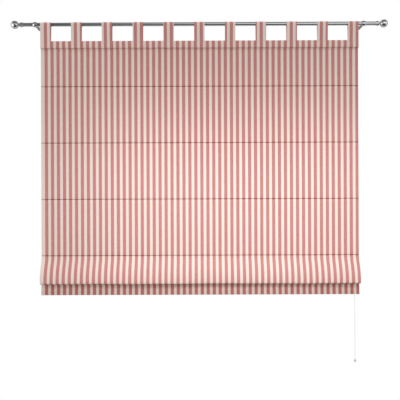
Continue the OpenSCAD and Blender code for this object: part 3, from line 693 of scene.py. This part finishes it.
def sew(name, lines, seed):
    """Rows of stitches along some lines."""
    stitches = grow(name, stitch_row, polyline(name + "_line", lines),
                    {"Pitch": 4 * mm, "Length": 3.3 * mm, "Thread": 0.7 * mm, "Seed": seed,
                     "Finish": rose_thread})
    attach(stitches, "blind")
    return stitches


heading_faces = (sewn - cloth_t / 2 - thread_proud, layer_y + cloth_t / 2 + thread_proud)
heading_stitches = sew("heading_stitches", [row_across(depth, heading_seam - heading_row)
                                            for depth in heading_faces], seed=3)
tuck_back = layer_y + tuck_bend + tuck_proud
tuck_side = tuck_half + cloth_t / 2 + tuck_proud
tuck_stitches = sew("tuck_stitches", [row_across(tuck_back, z + s * tuck_side)
                                      for z in seams for s in (1, -1)], seed=5)
hem_faces = (-cloth_t / 2 - thread_proud, cloth_t * 1.5 + inner_proud)
hem_stitches = sew("hem_stitches", [row_across(*up_hem(off, hem_row)) for off in hem_faces], seed=7)

# Tabs
# Loops of the same cloth, doubled and turned, that carry the blind on its pole. Each goes
# over the pole and is sewn down on both faces of the heading, its stripes in line with it.
tab_count, tab_columns = 11, 12
tab_t, leaf_y, loop_r, tab_margin = 1.5, 6.3, 10.55, 3.5
leaf_end = span("tab_1", Z)[0]
tab_lean = math.degrees(math.asin((loop_r - leaf_y) / math.hypot(loop_r - leaf_y, heading_top)))
loop = around((0, 0), loop_r, 180 + tab_lean, -tab_lean, steps=28)
tab_path = [(points, "still") for points in (
    [(-leaf_y, leaf_end)],
    straight((-leaf_y, leaf_end), (-leaf_y, heading_top), steps=4),
    straight((-leaf_y, heading_top), loop[0], steps=8)[:-1],
    loop,
    straight(loop[-1], (leaf_y, heading_top), steps=8),
    straight((leaf_y, heading_top), (leaf_y, leaf_end), steps=4))]
tab_cotton = striped_material("tab_cotton", bump=0.4)
for i in range(tab_count):
    left, right = span(f"tab_{i + 1}", X)
    tab, tab_length = woven_strip(f"tab_cloth_{i + 1}", tab_path, tab_t, left, right, tab_columns,
                                  lean=wave(i, 0.5, 2.3, 0.4))
    tab.data.materials.append(tab_cotton)
    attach(tab, "blind")
    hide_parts(f"tab_{i + 1}")
    low, high = leaf_end + tab_margin, heading_top - tab_margin
    near, far = left + tab_margin, right - tab_margin
    boxes = []
    # The cord lock lies close behind the last tab, so that one is sewn at the front only.
    for face in ((-1, 1) if i < tab_count - 1 else (-1,)):
        depth = face * (leaf_y + tab_t / 2 + thread_proud)
        corners = ((near, low), (far, low), (far, high), (near, high), (near, low))
        boxes.append(seam_line([(x, depth, z) for x, z in corners]))
    tab_stitches = sew(f"tab_stitches_{i + 1}", boxes, seed=11 + i)

# Pole, finials and brackets
# Chromed steel tube with turned ball finials, carried in two cast barrel rings on round
# stems. The plating is bright, with faint marks along the pole from polishing.
chrome = grained_material("bright_chrome", (0.62, 0.63, 0.645), rough=0.13, size=1.5 * mm,
                          stretch=(0.05, 1, 1), metal=1.0, bump=0.02, spread=0.06)
finish_nodes(chrome, "curtain_pole", "finial_left", "finial_right", "bracket_left", "bracket_right")
fitting_steel = grained_material("fitting_steel", (0.52, 0.52, 0.53), rough=0.32, size=0.8 * mm,
                                 stretch=(1, 1, 0.15), metal=1.0, bump=0.08)
finish_nodes(fitting_steel, "bracket_grub_screws", "finial_grub_screws")

# Battens and hem bar
# A planed pine strip stiffens the heading, round plastic rods fill the tucks, and a flat
# aluminium bar weighs the hem. Only their ends show, at the sides of the cloth.
pine = grained_material("planed_pine", (0.68, 0.48, 0.28), rough=0.6, size=1.6 * mm,
                        stretch=(0.04, 1, 1), bump=0.3, spread=0.2)
finish_nodes(pine, "head_batten")
rod_white = grained_material("rod_plastic", (0.78, 0.78, 0.75), rough=0.5, size=0.9 * mm,
                             stretch=(0.2, 1, 1))
finish_nodes(rod_white, *[f"batten_{i}" for i in range(1, 6)])
bar_metal = grained_material("bar_aluminium", (0.74, 0.75, 0.76), rough=0.34, size=0.7 * mm,
                             stretch=(0.05, 1, 1), metal=1.0)
finish_nodes(bar_metal, "hem_bar")

# Lift rings and their tacks
# Small moulded rings in columns down the back, one behind each rod. A few turns of thread
# hold each ring to the tuck in front of it.
columns = tuple(middle_of(f"lift_rings_{i}", X) for i in range(1, 5))
ring_y = middle_of("lift_rings_1", Y) - pole_y / mm
ring_r = 3.6
ring_heights = seams + (rod_at[1],)
ring_white = grained_material("ring_plastic", (0.86, 0.85, 0.81), rough=0.28, size=1.0 * mm,
                              coat=0.2)
finish_nodes(ring_white, *[f"lift_rings_{i}" for i in range(1, 5)])

ring_tack, given, made = new_group(
    "ring_tack", "GeometryNodeTree",
    [("Places", "Geometry"), ("Turns", "Int"), ("Radius", "Float"), ("Thread", "Float"),
     ("Finish", "Material")],
    [("Tacks", "Geometry")])
tack_sum = partial(reckon, ring_tack)
wrap = place(ring_tack, "GeometryNodeCurvePrimitiveCircle",
             {"Resolution": 14, "Radius": given["Radius"]})
yarn = place(ring_tack, "GeometryNodeCurvePrimitiveCircle",
             {"Resolution": 6, "Radius": tack_sum("MULTIPLY", given["Thread"], 0.5)})
wrap = place(ring_tack, "GeometryNodeCurveToMesh",
             {"Curve": wrap.outputs[0], "Profile Curve": yarn.outputs[0]})
wrap = place(ring_tack, "GeometryNodeSetShadeSmooth", {"Geometry": wrap.outputs[0]})
wrap = place(ring_tack, "GeometryNodeTransform",
             {"Geometry": wrap.outputs[0], "Rotation": (0, math.radians(90), 0)})
step = place(ring_tack, "ShaderNodeCombineXYZ", {"X": given["Thread"]})
half_way = tack_sum("MULTIPLY", tack_sum("SUBTRACT", given["Turns"], 1.0), -0.5)
begin = place(ring_tack, "ShaderNodeCombineXYZ",
              {"X": tack_sum("MULTIPLY", half_way, given["Thread"])})
turns = place(ring_tack, "GeometryNodeMeshLine",
              {"Count": given["Turns"], "Start Location": begin.outputs[0],
               "Offset": step.outputs[0]})
tack = place(ring_tack, "GeometryNodeInstanceOnPoints",
             {"Points": turns.outputs[0], "Instance": wrap.outputs[0]})
tacks = place(ring_tack, "GeometryNodeInstanceOnPoints",
              {"Points": given["Places"], "Instance": tack.outputs[0]})
finish_tree(ring_tack, tacks.outputs[0], given["Finish"], made["Tacks"])
tack_places = bpy.data.meshes.new("tack_places")
tack_places.from_pydata(seam_line([(x, ring_y - ring_r, z) for x in columns for z in ring_heights]),
                        [], [])
ring_tacks = grow("ring_tacks", ring_tack, tack_places,
                  {"Turns": 5, "Radius": 1.3 * mm, "Thread": 0.4 * mm, "Finish": rose_thread})
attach(ring_tacks, "blind")

# Lift cords and guide eyes
# A thin braided cord is knotted under the last ring of each column. It runs up through the
# rings, turns in a screw eye on the batten, and crosses to the lock beside the others.
finish_nodes(fitting_steel, "guide_eyes")
lift_r, lift_knot_r = 0.65 * mm, 2.9 * mm
knot_drop, knot_tail = 4.1, 7.9
eye_bend, wrap_r = 5.0, 6.7
pulley_x, pulley_z = middle_of("lock_pulley", X), middle_of("lock_pulley", Z)
cord_level = pulley_z + wrap_r
lanes = (3.6, 1.8, -1.8, 0.0)
lane_from, lane_to = 10, 50
joiner_entry = span("cord_joiner", Z)[1] - 5.4
last_knot = rod_at[1] - knot_drop
lift_white = braided_material("lift_cord_braid", (0.82, 0.82, 0.80), pitch=2.2 * mm, strands=4)
for k, (x, lane) in enumerate(zip(columns, lanes)):
    lane, start = ring_y + lane, x + eye_bend
    route, girths = seam_line([(x, ring_y, last_knot - knot_tail)]), [1.0]
    knotted(route, girths, seam_line([(x, ring_y, last_knot)])[0], lift_knot_r, lift_r, down=False)
    bends = [(p[0], ring_y, p[1])
             for p in around((start, cord_level - eye_bend), eye_bend, 180, 90, steps=10)]
    # The last column is next to the lock, and its cord needs no change of lane.
    if k < len(columns) - 1:
        bends += [(start + lane_from, ring_y, cord_level), (start + lane_to, lane, cord_level)]
    bends += [(p[0], lane, p[1]) for p in around((pulley_x, pulley_z), wrap_r, 90, 0, steps=10)]
    bends += [(pulley_x + wrap_r, lane, joiner_entry)]
    route += seam_line(bends)
    girths += [1.0] * len(bends)
    lift_cord = grow(f"lift_cord_braid_{k + 1}", cord_sweep,
                     polyline(f"lift_line_{k + 1}", [route], girths),
                     {"Diameter": 2 * lift_r, "Sides": 10, "Finish": lift_white})
    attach(lift_cord, "blind")
    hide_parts(f"lift_cord_{k + 1}")

# Cord lock
# A moulded block screwed to the heading batten. The cords bend over its steel pulley, and
# a toothed cam below swings against them and holds the blind where it is left.
moulded = grained_material("moulded_plastic", (0.82, 0.81, 0.77), rough=0.45, size=0.9 * mm,
                           bump=0.25)
finish_nodes(moulded, "lock_housing")
finish_nodes(fitting_steel, "lock_pulley", "lock_pulley_pin", "lock_cam", "lock_cam_pin",
             "lock_screws")

# Floor and studio light
# A pale floor well below the cord fades out at its rim, below the room view. A soft lamp in
# front and an even white room light the blind, and plain cards show only as reflections.
floor_middle = (0, -0.1, -2.2)
floor_mesh = bpy.data.meshes.new("pale_floor")
disc = bmesh.new()
bmesh.ops.create_circle(disc, cap_ends=True, segments=96, radius=1.0)
bmesh.ops.translate(disc, verts=disc.verts, vec=floor_middle)
disc.to_mesh(floor_mesh)
disc.free()
pale_floor = bpy.data.objects.new("pale_floor", floor_mesh)
bpy.context.collection.objects.link(pale_floor)
floor_paint, tree, skin = new_material("floor_paint", rough=0.9)
spot = place(tree, "ShaderNodeTexCoord")
patch = place(tree, "ShaderNodeTexNoise",
              {"Vector": spot.outputs["Object"], "Scale": 30.0, "Detail": 3.0})
colour_by(tree, skin, (1.0, 1.0, 1.0),
          reckon(tree, "MULTIPLY_ADD", patch.outputs["Fac"], 0.03, 0.9))
from_middle = place(tree, "ShaderNodeVectorMath", {0: spot.outputs["Object"], 1: floor_middle},
                    operation="DISTANCE")
rim = place(tree, "ShaderNodeMapRange",
            {"Value": from_middle.outputs["Value"], "From Min": 0.25, "From Max": 0.98,
             "To Min": 1.0, "To Max": 0.0}, interpolation_type="SMOOTHSTEP")
tree.links.new(rim.outputs["Result"], skin.inputs["Alpha"])
floor_mesh.materials.append(floor_paint)


def studio_card(name, corners, left_grey, right_grey):
    """A plain card that is seen only in reflections, most of all in the chrome. It goes from
    one grey past the left end of the pole to another past its right end."""
    mesh = bpy.data.meshes.new(name)
    mesh.from_pydata(corners, [], [(0, 1, 2, 3)])
    card = bpy.data.objects.new(name, mesh)
    bpy.context.collection.objects.link(card)
    paper = bpy.data.materials.new(name)
    paper.use_nodes = True
    tree = paper.node_tree
    tree.nodes.clear()
    spot = place(tree, "ShaderNodeTexCoord")
    across = place(tree, "ShaderNodeSeparateXYZ", {"Vector": spot.outputs["Object"]})
    grey = place(tree, "ShaderNodeMapRange",
                 {"Value": across.outputs["X"], "From Min": -1.1, "From Max": 1.1,
                  "To Min": left_grey, "To Max": right_grey})
    glow = place(tree, "ShaderNodeEmission", {"Strength": grey.outputs["Result"]})
    place(tree, "ShaderNodeOutputMaterial", {"Surface": glow.outputs[0]})
    paper.cycles.emission_sampling = "NONE"
    mesh.materials.append(paper)
    card.visible_camera = False
    card.visible_diffuse = False
    card.visible_transmission = False
    card.visible_shadow = False


# The cards box the pole in, from the front over the floor and the ceiling to the wall.
left, right, side = -1.4, 3, -2.2
front, under, wall = -1.6, 0.25, 0.6
foot, sill, head, ceiling = -2, -0.45, 1, 1.6
studio_card("front_card", [(left, front, sill), (right, front, sill),
                           (right, front, head), (left, front, head)], 0.13, 1.4)
studio_card("low_card", [(left, front, foot), (right, front, foot),
                         (right, front, sill), (left, front, sill)], 0.05, 0.05)
studio_card("floor_card", [(-right, front, foot), (right, front, foot),
                           (right, under, foot), (-right, under, foot)], 0.1, 0.1)
studio_card("high_card", [(-right, front, head), (right, front, head),
                          (right, wall, ceiling), (-right, wall, ceiling)], 0.22, 0.22)
studio_card("wall_card", [(-right, wall, -0.9), (right, wall, -0.9),
                          (right, wall, 0.9), (-right, wall, 0.9)], 0.3, 0.3)
studio_card("left_card", [(side, -2.4, -1.7), (side, -0.2, -1.7),
                          (side, -0.2, 0.25), (side, -2.4, 0.25)], 1.7, 1.7)

soft_lamp = bpy.data.lights.new("soft_lamp", "AREA")
soft_lamp.shape = "RECTANGLE"
soft_lamp.size = 1.6
soft_lamp.size_y = 0.6
soft_lamp.energy = 2.35
soft_lamp.spread = math.radians(58)
lamp = bpy.data.objects.new("soft_lamp", soft_lamp)
lamp.location = (0.2, -1.2, -0.25)
lamp.rotation_euler = (math.radians(57), 0, 0)
lamp.visible_camera = False
bpy.context.collection.objects.link(lamp)

white_room = bpy.data.worlds.new("white_room")
white_room.use_nodes = True
tree = white_room.node_tree
tree.nodes.clear()
rays = place(tree, "ShaderNodeLightPath").outputs
seen = reckon(tree, "MAXIMUM", rays["Is Camera Ray"],
              reckon(tree, "MAXIMUM", rays["Is Glossy Ray"], rays["Is Transmission Ray"]))
shown = place(tree, "ShaderNodeBackground", {"Color": (1, 1, 1, 1), "Strength": 1.0})
aim = place(tree, "ShaderNodeTexCoord")
height = place(tree, "ShaderNodeSeparateXYZ", {"Vector": aim.outputs["Generated"]}).outputs["Z"]
from_front = place(tree, "ShaderNodeMapRange",
                   {"Value": height, "From Min": -0.5, "From Max": 0.15, "To Min": 0.28,
                    "To Max": 1.0}, interpolation_type="SMOOTHSTEP")
from_ceiling = place(tree, "ShaderNodeMapRange",
                     {"Value": height, "From Min": 0.25, "From Max": 0.9, "To Min": 1.0,
                      "To Max": 0.6}, interpolation_type="SMOOTHSTEP")
level = reckon(tree, "MULTIPLY", from_front.outputs["Result"], from_ceiling.outputs["Result"])
lit = place(tree, "ShaderNodeBackground", {"Color": (1, 1, 1, 1), "Strength": level})
either = place(tree, "ShaderNodeMixShader", {0: seen, 1: lit.outputs[0], 2: shown.outputs[0]})
place(tree, "ShaderNodeOutputWorld", {"Surface": either.outputs[0]})
bpy.context.scene.world = white_room
bpy.context.scene.view_settings.view_transform = "Standard"
